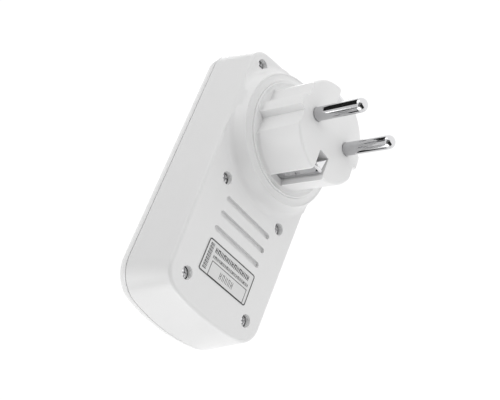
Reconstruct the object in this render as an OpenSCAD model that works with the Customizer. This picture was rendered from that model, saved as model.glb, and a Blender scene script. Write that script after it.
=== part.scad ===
// Plug-in power meter with a switched through socket.
// Frame: origin midway between the mains pins on the plug face, +Y along the pins
// (into the wall), -Y out of the front, +Z up. Lengths in millimetres.

/* [Plug] */
// Distance between the pin centres
pin_spacing = 19; // [18:0.5:20]
// Diameter of each mains pin
pin_d = 4.8; // [4:0.1:5]
// Length of each pin beyond the plug face
pin_length = 19; // [17:0.5:20]
// Radius of the round plug body
plug_r = 18.2; // [17.9:0.1:18.4]
// Distance from the plug face to the flat back of the case
plug_height = 23.7; // [23.2:0.1:24.5]
// Radius of the raised collar around the plug body
collar_r = 24.3; // [24:0.1:24.6]

/* [Case] */
// Depth of the rear shell from its flat back to the joint line
rear_depth = 17.7; // [17:0.1:19]
// Depth of the front cover beyond the joint line
cover_depth = 5; // [4.6:0.1:6]
// Half width of the flat back at the height of the pins
back_half = 25.5; // [25:0.1:27]
// Half width at the joint line at the height of the pins
joint_half = 27.2; // [27:0.1:28.2]
// Wall thickness of both shells
wall = 2; // [1.6:0.1:2.2]
// Width of the shadow line between the two shells
joint_gap = 0.3; // [0.2:0.05:0.5]

/* [Back details] */
// Radius of the screw wells in the back
well_r = 2.25; // [2.15:0.05:2.6]
// Length of the three grooves
groove_length = 24.6; // [20:0.2:28]
// Width of the three grooves
groove_width = 2; // [1.4:0.1:2.6]
// Width of the rating label
label_w = 25; // [20:0.1:26]
// Height of the rating label
label_h = 12; // [9:0.1:12.6]

/* [Front socket] */
// Radius of the round socket recess
recess_r = 19.5; // [19.2:0.1:19.8]
// Depth of the socket recess
recess_depth = 17.5; // [17:0.1:18]
// Radius of the pin entries in the recess floor
entry_r = 2.75; // [2.6:0.05:2.9]
// Turn of the shutter between shut and open, in degrees
shutter_turn = 36; // [35:1:38]

/* [Front controls] */
// Width of the display opening
window_w = 34; // [30:0.5:34]
// Height of the display opening
window_h = 12; // [10:0.5:12]
// Width of a meter key
key_w = 8; // [6:0.5:8]
// Height of a meter key
key_h = 5.5; // [4:0.5:5.5]
// Travel of every key
key_travel = 0.6; // [0.3:0.1:0.7]

/* [Hidden] */

$fn = 72;
eps = 0.01;
cut = 0.2;

// Stations along Y, from the back of the case to its front
back_y = -plug_height;
joint_y = back_y - rear_depth;
front_y = joint_y - cover_depth;
cover_inside_y = front_y + wall;
floor_y = front_y + recess_depth;
floor_back_y = floor_y + 1.5;
carrier_y = -25.2;
carrier_back_y = -23.7;
shutter_front_y = floor_back_y + 0.25;
shutter_back_y = shutter_front_y + 1.4;
post_y = -33;
board_y = -37.6;
board_back_y = board_y + 1.6;

// Outlines: half width at z = 0, taper per mm of height, then for the bottom and the top
// the height of the crown, its radius and the radius of the corners
back_outline = [back_half, 0.036, -73.3, 88, 8.4, 27.6, 85, 7];
joint_outline = [joint_half, 0.024, -76.75, 75, 12, 32.2, 70, 12.6];
edge_r = 1.1;
front_edge = [3.8, 3.3];
arc_steps = 10;

// Screw places on the back, as [x, z] of the right-hand one of each pair
screw_pairs = [[20.6, 19.3], [15.4, -27.7], [15.5, -64.4]];
screw_places = [for (p = screw_pairs, s = [-1, 1]) [s * p[0], p[1]]];
post_r = 3.6;
cover_post_r = 3;
screw_r = 1.25;
well_seat_y = back_y - 3.1;
head_r = well_r - 0.15;
groove_heights = [-33.55, -39.3, -45.1];
groove_depth = 1.2;
label_z = -54.85;

// Plug body
plug_wall_r = 13.6;
rim_r = 21;
rim_y = -17.2;
flange_r = 22.4;
flange_back_y = -20.6;
face_block = 7;
flat_x = 15.8;
earth_half = 2.3;
earth_z = 15.2;
earth_t = 0.8;
pin_x = pin_spacing / 2;
pin_shank_r = pin_d / 2 - 0.5;
pin_ring = 0.15;
pin_nose = 2.1;
earth_slot_half = 2.6;
earth_pass_half = 2.4;
carrier_r = 21.2;
carrier_screw_r = 18.6;

// Display and keys
window_z = -39.6;
key_z = -56;
key_step = 12;
power_key_z = -66.3;
power_key_r = 4.2;
guide_x = 8.2;
guide_r = 1.2;
key_clearance = 0.25;
key_proud = 0.8;
switch_size = 6;
switch_top_y = board_y - 3.4;
switch_floor_y = board_y - 0.9;
plunger_r = 1.7;
plunger_top_y = switch_top_y - 0.9;
plunger_end_y = switch_floor_y - key_travel - 0.3;
board_screw = [18.2, -49.6];
board_post_r = 2.2;

// ---- outline functions ----

// Centre of the corner arc between a tapered side and a crown, and the crown's centre
function corner(half, taper, apex, crown, r, side) =
    let (
        slope = sqrt(1 + taper * taper),
        x0 = half - r * slope,
        crown_z = apex - side * crown,
        a = 1 + taper * taper,
        b = 2 * (x0 * taper - crown_z),
        c = x0 * x0 + crown_z * crown_z - pow(crown - r, 2),
        z = (-b + side * sqrt(b * b - 4 * a * c)) / (2 * a)
    )
    [x0 + taper * z, z, crown_z];

// Points along an arc, without its first point
function arc(centre, r, from, to) = [
    for (i = [1:arc_steps])
        let (t = from + (to - from) * i / arc_steps)
        centre + r * [cos(t), sin(t)]
];

// Right-hand half of an outline, from the bottom crown to the top crown
function right_half(o) =
    let (
        low = corner(o[0], o[1], o[2], o[3], o[4], -1),
        high = corner(o[0], o[1], o[5], o[6], o[7], 1),
        side = -atan(o[1]),
        low_turn = atan2(low[1] - low[2], low[0]),
        high_turn = atan2(high[1] - high[2], high[0])
    )
    concat(
        arc([0, low[2]], o[3], -90, low_turn),
        arc([low[0], low[1]], o[4], low_turn, side),
        arc([high[0], high[1]], o[7], side, high_turn),
        arc([0, high[2]], o[6], high_turn, 90 - eps)
    );

// The whole outline as a closed list of points
function outline(o) =
    let (half = right_half(o), n = len(half))
    concat(half, [for (i = [n - 1:-1:0]) [-half[i][0], half[i][1]]]);

// The outline moved inwards by d
function inset(o, d) = [
    o[0] - d * sqrt(1 + o[1] * o[1]), o[1], o[2] + d, o[3] - d, max(o[4] - d, 0.5),
    o[5] - d, o[6] - d, max(o[7] - d, 0.5)
];

// Closed outline of a strip of thickness t along the path p
function ribbon(p, t) =
    let (
        n = len(p),
        turn = [
            for (i = [0:n - 1])
                let (d = p[min(i + 1, n - 1)] - p[max(i - 1, 0)])
                [-d[1], d[0]] / norm(d)
        ]
    )
    concat(
        [for (i = [0:n - 1]) p[i] + turn[i] * t / 2],
        [for (i = [n - 1:-1:0]) p[i] - turn[i] * t / 2]
    );

// ---- shaping helpers ----

// A 2D shape in X and Z, thick from y0 to y1
module plate(y0, y1) {
    translate([0, y1, 0]) rotate([90, 0, 0]) linear_extrude(y1 - y0) children();
}

// A cylinder along Y at [x, z]
module rod(y0, y1, r, at = [0, 0]) {
    translate([at[0], y1, at[1]]) rotate([90, 0, 0]) cylinder(h = y1 - y0, r = r);
}

// A profile of [radius, y] points turned about the Y axis
module turned(points) {
    rotate([-90, 0, 0]) rotate_extrude() polygon(points);
}

// A 2D shape in Y and Z, wide from -half to half in X
module strip_yz(half) {
    translate([-half, 0, 0]) rotate([90, 0, 90]) linear_extrude(2 * half) children();
}

// A box between two opposite corners
module block(low, high) {
    translate(low) cube(high - low);
}

// A rectangle with round corners, centred
module round_rect(w, h, r) {
    union() {
        square([w - 2 * r, h], center = true);
        square([w, h - 2 * r], center = true);
        for (x = [-1, 1], z = [-1, 1])
            translate([x * (w / 2 - r), z * (h / 2 - r)]) circle(r = r, $fn = 32);
    }
}

module outline_slab(y, o) {
    plate(y - eps, y) polygon(outline(o));
}

// ---- case ----

module rear_solid(grow) {
    hull() {
        outline_slab(joint_y + joint_gap / 2 + eps, inset(joint_outline, grow));
        for (i = [0:3]) {
            a = i * 30;
            round_in = edge_r * (1 - cos(a));
            outline_slab(
                back_y - grow - edge_r * (1 - sin(a)),
                inset(back_outline, grow + round_in)
            );
        }
    }
}

// Raised collar round the plug body, flush with the case sides at its foot
module boss() {
    intersection() {
        turned([
            [19, back_y - 1.2], [25.9, back_y - 1.2], [25.9, back_y], [25.35, back_y + 0.7],
            [25, back_y + 2], [collar_r + 0.15, rim_y - 1.7], [collar_r, rim_y - 1.25],
            [collar_r - 0.35, rim_y - 0.95], [rim_r + 0.9, rim_y - 0.35], [19, rim_y - 0.35]
        ]);
        plate(-28, 0) polygon(outline(inset(back_outline, 0.05)));
    }
}

module rear_shell() {
    color("whitesmoke") difference() {
        union() {
            difference() {
                union() {
                    rear_solid(0);
                    boss();
                }
                rear_solid(wall);
                plate(joint_y - 1, joint_y + joint_gap / 2 + 0.05)
                    polygon(outline(inset(joint_outline, wall)));
            }
            for (p = screw_places)
                rod(post_y, back_y - 1, post_r, p);
        }
        rod(-40, rim_y + 1, rim_r + 0.05);
        rod(-40, flange_back_y, flange_r + 0.1);
        for (p = screw_places) {
            rod(well_seat_y, back_y + 1, well_r, p);
            rod(-40, back_y, screw_r + 0.2, p);
        }
        for (z = groove_heights)
            translate([0, 0, z]) plate(back_y - groove_depth, back_y + 1)
                round_rect(groove_length, groove_width, groove_width / 2 - eps);
    }
}

module cover_solid(grow) {
    hull() {
        outline_slab(joint_y - joint_gap / 2, inset(joint_outline, grow));
        for (i = [0:5]) {
            a = i * 18;
            outline_slab(
                front_y + grow + front_edge[0] * (1 - sin(a)) + eps,
                inset(joint_outline, grow + front_edge[1] * (1 - cos(a)))
            );
        }
    }
}

module front_cover() {
    lip = 2.7;
    color("whitesmoke") difference() {
        union() {
            difference() {
                cover_solid(0);
                cover_solid(wall);
                plate(joint_y - 1, joint_y)
                    polygon(outline(inset(joint_outline, wall)));
            }
            difference() {
                plate(joint_y - 0.8, joint_y + 1.5)
                    polygon(outline(inset(joint_outline, lip)));
                plate(joint_y - 2, joint_y + 2)
                    polygon(outline(inset(joint_outline, lip + 1)));
            }
            difference() {
                plate(joint_y - 0.8, joint_y - 0.2)
                    polygon(outline(inset(joint_outline, wall / 2)));
                plate(joint_y - 2, joint_y + 2)
                    polygon(outline(inset(joint_outline, lip + 1)));
            }
            for (p = screw_places)
                rod(cover_inside_y - eps, post_y - 0.05, cover_post_r, p);
            for (s = [-1, 1])
                rod(cover_inside_y - eps, board_y, board_post_r, [s * board_screw[0], board_screw[1]]);
        }
        rod(front_y - 1, 0, recess_r + 1.9);
        for (p = screw_places)
            rod(cover_inside_y + 1, post_y + 1, screw_r, p);
        for (s = [-1, 1])
            rod(cover_inside_y + 1, board_y + 1, 0.8, [s * board_screw[0], board_screw[1]]);
        translate([0, 0, window_z]) plate(front_y - 1, cover_inside_y + 1)
            round_rect(window_w, window_h, 1.5);
        for (i = [-1:1])
            translate([i * key_step, 0, key_z]) plate(front_y - 1, cover_inside_y + 1)
                round_rect(key_w + 2 * key_clearance, key_h + 2 * key_clearance, 1.75);
        rod(front_y - 1, cover_inside_y + 1, power_key_r + key_clearance, [0, power_key_z]);
        rod(front_y - 1, cover_inside_y + 1, guide_r + 0.05, [guide_x, power_key_z]);
    }
}

module case_screws() {
    color("silver") for (p = screw_places)
        translate([p[0], 0, p[1]]) difference() {
            turned([
                [0, well_seat_y + 1.8], [0.9, well_seat_y + 1.7], [1.6, well_seat_y + 1.45],
                [head_r - 0.1, well_seat_y + 1.05], [head_r, well_seat_y + 0.85],
                [head_r, well_seat_y], [screw_r, well_seat_y],
                [screw_r, well_seat_y - 14.2], [0, well_seat_y - 15.6]
            ]);
            for (turn = [0, 90])
                rotate([0, turn + 20, 0])
                    block([-1.35, well_seat_y + 0.7, -0.28], [1.35, well_seat_y + 2, 0.28]);
        }
}

module rating_label() {
    color("gainsboro") translate([0, 0, label_z]) plate(back_y, back_y + 0.12)
        round_rect(label_w, label_h, 1);
}

// ---- plug ----

// The two flats beside the guide rib, on the +X side
module plug_flats() {
    for (s = [-1, 1])
        plate(rim_y - 0.5, 1)
            polygon([[flat_x, s * 3.1], [19, s * 1.9], [21, s * 1.9], [21, s * 11], [flat_x, s * 11]]);
}

module plug_body() {
    color("whitesmoke") difference() {
        turned([
            [0, 0], [plug_r - 0.9, 0], [plug_r - 0.35, -0.15], [plug_r - 0.1, -0.4],
            [plug_r, -0.9], [plug_r + 0.1, rim_y + 0.4], [plug_r + 0.25, rim_y - 0.3],
            [plug_r + 0.7, rim_y - 0.85], [plug_r + 1.3, rim_y - 0.9],
            [plug_r + 1.9, rim_y - 0.55], [rim_r - 0.5, rim_y - 0.05], [rim_r - 0.2, rim_y],
            [rim_r, rim_y - 0.25], [rim_r, flange_back_y], [flange_r, flange_back_y],
            [flange_r, carrier_back_y + 0.2], [plug_wall_r, carrier_back_y + 0.2],
            [plug_wall_r, -face_block], [0, -face_block]
        ]);
        plug_flats();
        mirror([1, 0, 0]) plug_flats();
        for (s = [-1, 1]) {
            rod(-face_block - 1, 1, pin_shank_r, [s * pin_x, 0]);
            rod(-2 * pin_ring, 1, pin_d / 2 + pin_ring, [s * pin_x, 0]);
            scale([1, 1, s]) {
                block([-earth_slot_half, rim_y - 0.6, earth_z], [earth_slot_half, 1, 20]);
                block([-earth_slot_half, -6, 9.6], [earth_slot_half, 1, earth_z + cut]);
                block(
                    [-earth_pass_half, -25, earth_z - 0.05],
                    [earth_pass_half, rim_y, earth_z + earth_t + 0.05]
                );
                block([-earth_pass_half, -25, -1], [earth_pass_half, -22.7, earth_z + earth_t + 2.2]);
            }
        }
        for (s = [-1, 1])
            scale([s, 1, 1]) block([5, -25, -19.5], [9.6, -19.5, -9]);
        for (i = [0:3])
            rotate([0, 45 + 90 * i, 0]) rod(-25, -21.2, 0.9, [carrier_screw_r, 0]);
    }
}

module mains_pin(x) {
    r = pin_d / 2;
    tip_r = 0.7;
    nose = [
        for (i = [0:8])
            let (a = i * 11.25)
            [tip_r + (r - tip_r) * cos(a), pin_length - pin_nose * (1 - sin(a))]
    ];
    color("silver") translate([x, 0, 0]) turned(concat(
        [[0, -8.2], [1.6, -8.2], [1.6, -face_block], [pin_shank_r, -face_block],
         [pin_shank_r, 0], [r, 0]],
        nose,
        [[0, pin_length]]
    ));
}

module line_pin() {
    mains_pin(pin_x);
}

module neutral_pin() {
    mains_pin(-pin_x);
}

// Side earth contact: it lies in the groove and turns in behind the plug face, with a
// slanting three-cornered fold on each side of its tongue
module earth_strip() {
    union() {
        strip_yz(earth_half) polygon([
            [-22.7, earth_z], [-1.7, earth_z], [-5.4, 11], [-4.8, 10.5], [-0.6, earth_z - 0.3],
            [-0.5, earth_z + 0.4], [-1, earth_z + earth_t], [-22.7, earth_z + earth_t]
        ]);
        for (s = [0, 1])
            mirror([s, 0, 0]) hull() {
                block([-2.55, -0.85, 10.1], [-2.4, -0.6, 10.25]);
                block([-2.55, -1.65, 14.25], [-2.4, -1.4, 14.4]);
                block([-0.6, -3.3, 11.9], [-0.45, -3.05, 13]);
            }
    }
}

module plug_earth_top() {
    color("silver") earth_strip();
}

module plug_earth_bottom() {
    color("silver") mirror([0, 0, 1]) earth_strip();
}

module earth_bridge() {
    color("goldenrod") block([-earth_half, -23.5, -18], [earth_half, -22.75, 18]);
}

module neutral_link() {
    color("goldenrod") union() {
        block([-pin_x - 3, -9, -3], [-pin_x + 3, -8.2, 3]);
        block([-pin_x + 0.5, -9, -10.2], [-pin_x + 3, -8.2, -2.9]);
    }
}

// ---- front socket ----

module socket_insert() {
    outer = recess_r + 1.8;
    color("whitesmoke") difference() {
        union() {
            turned([
                [0, floor_back_y], [outer, floor_back_y], [outer, front_y + 3.6],
                [outer + 1.2, front_y + 3.6], [outer + 1.2, cover_inside_y + 0.05],
                [outer, cover_inside_y + 0.05], [outer, front_y + 0.3],
                [outer - 0.3, front_y], [recess_r + 0.5, front_y],
                [recess_r, front_y + 0.5], [recess_r, floor_y], [0, floor_y]
            ]);
            for (sx = [-1, 1], sz = [-1, 1])
                scale([sx, 1, sz]) block([16.3, front_y + 1, 3.7], [19.6, floor_y + eps, 6.4]);
            rod(floor_y - 1.2, floor_y + eps, 1.6);
            rod(floor_back_y - eps, floor_back_y + 1.5, 1.5);
        }
        for (s = [-1, 1]) {
            rod(floor_y - 1, floor_back_y + 1, entry_r, [s * pin_x, 0]);
            scale([1, 1, s]) {
                block([-earth_slot_half, floor_y - 1, 16.9], [earth_slot_half, floor_back_y + 1, 18.1]);
                block([-3, front_y + 2.5, 16], [3, floor_y, 20.3]);
            }
        }
    }
}

module socket_earth_clips() {
    path = [
        [-23.5, 17.5], [-28.6, 17.5], [-30, 18], [-32, 18.3], [-34, 17.8], [-36, 17.1],
        [-38, 17.2], [-40, 18.1], [-41.5, 19], [-42.6, 19.6]
    ];
    color("silver") for (s = [0, 1])
        mirror([0, 0, s]) strip_yz(earth_half) polygon(ribbon(path, 0.6));
}

module contact_carrier() {
    color("dimgray") difference() {
        union() {
            rod(carrier_y, carrier_back_y + 0.15, carrier_r);
            difference() {
                rod(floor_back_y + 0.05, carrier_y + eps, carrier_r);
                rod(floor_back_y - 1, carrier_y + 1, carrier_r - 0.6);
            }
            for (s = [-1, 1])
                rod(carrier_back_y, -14.5, 3.8, [s * pin_x, 0]);
        }
        for (s = [-1, 1]) {
            rod(-27, -10, 3.05, [s * pin_x, 0]);
            scale([1, 1, s]) block([-earth_pass_half, -28, 17.15], [earth_pass_half, -20, 17.85]);
            scale([s, 1, 1]) block([5, -28, -22], [9.6, -20, -13]);
        }
        block([-earth_pass_half, carrier_back_y + 0.15 - eps, -18.1], [earth_pass_half, -20, 18.1]);
        for (i = [0:3])
            rotate([0, 45 + 90 * i, 0]) rod(-27, -20, 1.1, [carrier_screw_r, 0]);
    }
}

module carrier_screws() {
    color("silver") for (i = [0:3])
        rotate([0, 45 + 90 * i, 0]) translate([carrier_screw_r, 0, 0])
            turned([
                [0, carrier_y - 1.2], [1.4, carrier_y - 1.2], [1.8, carrier_y - 0.8],
                [1.8, carrier_y], [0.9, carrier_y], [0.9, -21.6], [0, -21.3]
            ]);
}

// A sleeve that grips a plug pin, split along its length
module pin_sleeve(end_y) {
    mouth_y = carrier_y + 0.1;
    difference() {
        rod(mouth_y, end_y, 3);
        rod(mouth_y - 1, end_y - 1, pin_d / 2 - 0.05);
        for (turn = [0, 90])
            rotate([0, turn, 0]) block([-4, mouth_y - 1, -0.4], [4, end_y - 4, 0.4]);
    }
}

module line_contact() {
    color("goldenrod") translate([pin_x, 0, 0]) pin_sleeve(-11.5);
}

module neutral_contact() {
    color("goldenrod") translate([-pin_x, 0, 0]) pin_sleeve(-9);
}

module shutter() {
    color("gainsboro") difference() {
        rod(shutter_front_y, shutter_back_y, 14.2);
        rod(shutter_front_y - 1, shutter_back_y + 1, 1.56);
        rod(shutter_front_y + 0.6, shutter_back_y + 1, 4.2);
        for (s = [0, 180])
            rotate([0, shutter_turn + s, 0])
                rod(shutter_front_y - 1, shutter_back_y + 1, entry_r + 0.15, [pin_x, 0]);
        for (s = [0, 180])
            rotate([0, shutter_turn + 90 + s, 0])
                block([9, shutter_front_y - 1, -3], [15, shutter_back_y + 1, 3]);
    }
}

// Flat spiral spring wound round the shutter's pivot
module shutter_spring() {
    turns = 2.5;
    steps = 45;
    spiral = [
        for (i = [0:steps])
            let (t = i / steps, a = 360 * turns * t)
            (1.9 + 2 * t) * [cos(a), sin(a)]
    ];
    color("silver") plate(shutter_front_y + 0.65, shutter_front_y + 1.15)
        polygon(ribbon(spiral, 0.25));
}

// ---- display and keys ----

module display_window() {
    color("lightsteelblue") translate([0, 0, window_z]) union() {
        plate(front_y + 0.2, cover_inside_y + cut)
            round_rect(window_w - 0.1, window_h - 0.1, 1.4);
        plate(cover_inside_y + 0.02, cover_inside_y + 1.1)
            round_rect(window_w + 3, window_h + 2.2, 1);
    }
}

module lcd_panel() {
    color("darkseagreen") translate([0, 0, window_z]) union() {
        plate(cover_inside_y + 1.15, cover_inside_y + 2.25) square([36, 13.4], center = true);
        plate(cover_inside_y + 2.25, cover_inside_y + 3.35) square([36, 11.4], center = true);
    }
}

module lcd_holder() {
    color("whitesmoke") translate([0, 0, window_z]) difference() {
        plate(cover_inside_y + 1.12, board_y) square([38.6, 14.8], center = true);
        plate(cover_inside_y, board_y + 1) square([36.2, 13.6], center = true);
    }
}

// Elastomer strips that join the display glass to the board
module contact_strips() {
    color("hotpink") for (s = [-1, 1])
        translate([0, 0, window_z + s * 6.2])
            plate(cover_inside_y + 2.25, board_y) square([34, 0.9], center = true);
}

module key_cap(w, h, r) {
    flange_y = cover_inside_y + 0.15;
    union() {
        plate(front_y - key_proud + 0.35, flange_y + eps) round_rect(w, h, r);
        plate(front_y - key_proud, front_y - key_proud + 0.36)
            round_rect(w - 0.6, h - 0.6, r - 0.3);
        plate(flange_y, flange_y + 0.9) round_rect(w + 2, h + 2, r);
        rod(flange_y + 0.9 - eps, plunger_top_y, 1.5);
    }
}

module meter_key(i) {
    color("lightgray") translate([i * key_step, 0, key_z]) key_cap(key_w, key_h, 1.5);
}

module mode_key() {
    meter_key(-1);
}

module up_key() {
    meter_key(0);
}

module down_key() {
    meter_key(1);
}

module power_key() {
    flange_y = cover_inside_y + 0.15;
    top_y = front_y - key_proud;
    color("lightgray") translate([0, 0, power_key_z]) turned([
        [0, top_y + 0.25], [2.2, top_y + 0.15], [3.4, top_y], [power_key_r - 0.3, top_y],
        [power_key_r, top_y + 0.35], [power_key_r, flange_y], [power_key_r + 1, flange_y],
        [power_key_r + 1, flange_y + 0.9], [1.5, flange_y + 0.9], [1.5, plunger_top_y],
        [0, plunger_top_y]
    ]);
}

module plunger(at) {
    color("black") rod(plunger_top_y, plunger_end_y, plunger_r, at);
}

module mode_plunger() {
    plunger([-key_step, key_z]);
}

module up_plunger() {
    plunger([0, key_z]);
}

module down_plunger() {
    plunger([key_step, key_z]);
}

module power_plunger() {
    plunger([0, power_key_z]);
}

module key_switches() {
    places = [[-key_step, key_z], [0, key_z], [key_step, key_z], [0, power_key_z]];
    color("gray") for (p = places)
        translate([p[0], 0, p[1]]) difference() {
            plate(switch_top_y, board_y) square(switch_size, center = true);
            rod(switch_top_y - 1, switch_floor_y, plunger_r + 0.06);
        }
}

module light_guide() {
    color("white") translate([guide_x, 0, power_key_z]) turned([
        [0, front_y - 0.2], [0.8, front_y - 0.1], [guide_r, front_y + 0.2],
        [guide_r, cover_inside_y + 0.05], [guide_r + 0.7, cover_inside_y + 0.05],
        [guide_r + 0.7, cover_inside_y + 1], [guide_r, cover_inside_y + 1],
        [guide_r, board_y - 1.4], [0, board_y - 1.4]
    ]);
}

module status_led() {
    color("orangered") block(
        [guide_x - 1.6, board_y - 1.3, power_key_z - 0.9], [guide_x + 1.6, board_y, power_key_z + 0.9]
    );
}

// ---- electronics ----

module main_board() {
    color("darkgreen") difference() {
        plate(board_y, board_back_y) union() {
            translate([-20, -60.3]) square([40, 28]);
            translate([-11.4, -71.2]) square([22.8, 12]);
        }
        for (s = [-1, 1])
            rod(board_y - 1, board_back_y + 1, 1, [s * board_screw[0], board_screw[1]]);
    }
}

module board_screws() {
    color("silver") for (s = [-1, 1])
        translate([s * board_screw[0], 0, board_screw[1]]) turned([
            [0, board_back_y + 1], [1, board_back_y + 0.95], [1.6, board_back_y + 0.5],
            [1.6, board_back_y], [0.8, board_back_y], [0.8, board_y - 4.2], [0, board_y - 4.6]
        ]);
}

module relay() {
    color("royalblue") union() {
        block([3.2, board_back_y + 0.3, -56], [16.2, -26.2, -35]);
        for (x = [4.4, 13.8], z = [-54.6, -37.6])
            block([x, board_back_y, z], [x + 1.2, board_back_y + 0.35, z + 1.2]);
    }
}

module current_shunt() {
    path = [[board_back_y, -50], [-31.5, -50], [-30.7, -50.8], [-30.7, -55.2],
            [-31.5, -56], [board_back_y, -56]];
    color("peru") translate([-1.4, 0, 0]) strip_yz(1.8) polygon(ribbon(path, 0.9));
}

module filter_capacitor() {
    color("khaki") block([-18.5, board_back_y, -41], [-5.5, -27.4, -34]);
}

module smoothing_capacitor() {
    r = 4;
    color("darkslategray") translate([-10.2, board_back_y + r, -52.6]) rotate([0, 90, 0])
        rotate_extrude() polygon([
            [0, -6.2], [r - 0.5, -6.2], [r, -5.7], [r, -4.9], [r - 0.4, -4.6], [r, -4.3],
            [r, 5.7], [r - 0.5, 6.2], [0, 6.2]
        ]);
}

module fuse() {
    r = 2.5;
    color("lightsteelblue") translate([-10.6, board_back_y + r, -44.9]) rotate([0, 90, 0])
        rotate_extrude() polygon([
            [0, -7.5], [r - 0.3, -7.5], [r, -7.2], [r, -3.6], [r - 0.25, -3.5],
            [r - 0.25, 3.5], [r, 3.6], [r, 7.2], [r - 0.3, 7.5], [0, 7.5]
        ]);
}

module varistor() {
    color("steelblue") rod(board_back_y, board_back_y + 3.8, 4, [-1.3, -37.9]);
}

// A chip body with a row of legs along each long side
module chip(centre, w, h, t, legs) {
    pitch = h / (legs + 0.5);
    translate([centre[0], 0, centre[1]]) union() {
        plate(board_back_y + 0.1, board_back_y + t) square([w, h], center = true);
        for (s = [-1, 1], i = [0:legs - 1])
            translate([s * (w / 2 + 0.45), board_back_y + 0.25, (i - (legs - 1) / 2) * pitch])
                cube([1, 0.5, pitch * 0.45], center = true);
    }
}

module metering_chip() {
    color("black") chip([-6.4, -65.6], 4, 9, 1.5, 8);
}

module controller_chip() {
    color("black") chip([5.2, -64.6], 7, 7, 1.2, 10);
}

module crystal() {
    color("silver") translate([2.7, board_back_y, -69.9]) union() {
        block([-4.2, 0, -1], [4.2, 2.4, 1]);
        block([-5.2, 0, -1.2], [5.2, 0.4, 1.2]);
    }
}

module backup_cell() {
    color("silver") translate([-9, 0, window_z]) turned([
        [0, board_y - 2.6], [3.3, board_y - 2.6], [3.5, board_y - 2], [4.6, board_y - 1.8],
        [4.6, board_y], [0, board_y]
    ]);
}

module radio_board() {
    color("darkgreen") block([-10, board_back_y + 1.4, -31.6], [10, board_back_y + 2.4, -23.4]);
}

module radio_pins() {
    color("gold") for (i = [0:4])
        block([-8.3 + 2 * i, board_back_y, -33.4], [-7.7 + 2 * i, board_back_y + 1.4, -30.2]);
}

// A round wire along a list of points, as one closed surface. No stretch of the path
// may run parallel to ref.
module wire(path, r, sides, ref) {
    n = len(path);
    rings = [
        for (i = [0:n - 1])
            let (
                d = path[min(i + 1, n - 1)] - path[max(i - 1, 0)],
                t = d / norm(d),
                u = cross(t, ref),
                v = u / norm(u),
                w = cross(t, v)
            )
            for (k = [0:sides - 1])
                path[i] + r * (cos(360 * k / sides) * v + sin(360 * k / sides) * w)
    ];
    walls = [
        for (i = [0:n - 2], k = [0:sides - 1])
            let (a = i * sides + k, b = i * sides + (k + 1) % sides)
            [a, a + sides, b + sides, b]
    ];
    polyhedron(
        rings,
        concat(
            walls,
            [[for (k = [0:sides - 1]) k]],
            [[for (k = [sides - 1:-1:0]) (n - 1) * sides + k]]
        )
    );
}

module radio_antenna() {
    turns = 7;
    helix = [
        for (i = [0:turns * 10])
            let (a = i * 36)
            [-7.5 + 1.4 * i / 10, -30.6 + 1.8 * cos(a), -27.6 + 1.8 * sin(a)]
    ];
    lead = [[-8.5, board_back_y + 2.42, -27], [-8.4, -31, -27.1], [-8.2, -29.6, -27.3]];
    color("orange") wire(concat(lead, helix), 0.35, 6, [1, 0.1, 0]);
}

// A smooth route through hand-picked points, four steps to each stretch
function route(p) = [
    for (i = [0:len(p) - 2], k = [0:3])
        let (
            t = k / 4,
            a = p[max(i - 1, 0)],
            b = p[i],
            c = p[i + 1],
            d = p[min(i + 2, len(p) - 1)]
        )
        0.5 * (2 * b + (c - a) * t + (2 * a - 5 * b + 4 * c - d) * t * t
            + (3 * b - a - 3 * c + d) * t * t * t)
];

wire_ref = [0.55, 0.8, -0.2];
line_in_route = [
    [9.5, -9.05, 1.2], [9.5, -9.05, -3], [8.2, -10.5, -6.5], [6.4, -14, -8.5],
    [6.1, -19, -9.8], [6.1, -22.5, -13.5], [6.1, -24.8, -16.8], [6.1, -26.5, -20.2],
    [5.6, -26.6, -23], [-2, -27, -28], [-9, -27.2, -32.2], [-15, -27.6, -32.5],
    [-19.8, -29.2, -33.6], [-20.6, -31.4, -37.4], [-19.8, -34, -41.4], [-19.3, -35.98, -42.6]
];
line_out_route = [
    [9.5, -12.8, -3.8], [10.2, -13.4, -6.4], [8.9, -17, -8.2], [8.6, -20.4, -9],
    [8.6, -22.2, -12.5], [8.6, -24.5, -16.5], [8.6, -26.5, -20.2], [9.2, -26.6, -23.4],
    [10.6, -27.6, -29], [14, -28.4, -32.8], [18.6, -29.6, -34.6], [18.6, -33, -38],
    [18.6, -35.98, -40]
];
neutral_route = [
    [-7.8, -9.78, -9.2], [-7.6, -14, -9.4], [-7.2, -19, -10], [-7.2, -22.5, -13.5],
    [-7.2, -24.8, -16.8], [-7.2, -26.5, -20.2], [-8.4, -26.6, -23], [-10.8, -27.4, -26.5],
    [-11.2, -30.5, -30.8], [-12.8, -33, -32.6], [-16.4, -34.6, -33], [-17.4, -35.98, -33.1]
];

module mains_wires() {
    color("saddlebrown") wire(route(line_in_route), 0.75, 8, wire_ref);
    color("black") wire(route(line_out_route), 0.75, 8, wire_ref);
    color("blue") wire(route(neutral_route), 0.75, 8, wire_ref);
}

rear_shell();
front_cover();
plug_body();
line_pin();
neutral_pin();
plug_earth_top();
plug_earth_bottom();
earth_bridge();
rating_label();
case_screws();
socket_insert();
socket_earth_clips();
contact_carrier();
line_contact();
neutral_contact();
carrier_screws();
shutter();
shutter_spring();
display_window();
lcd_panel();
lcd_holder();
contact_strips();
mode_key();
up_key();
down_key();
power_key();
mode_plunger();
up_plunger();
down_plunger();
power_plunger();
key_switches();
light_guide();
status_led();
main_board();
board_screws();
relay();
current_shunt();
filter_capacitor();
smoothing_capacitor();
fuse();
varistor();
metering_chip();
controller_chip();
crystal();
backup_cell();
radio_board();
radio_antenna();
radio_pins();
neutral_link();
mains_wires();
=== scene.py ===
import math

import bmesh
import bpy
from mathutils import Matrix, Vector


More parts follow.
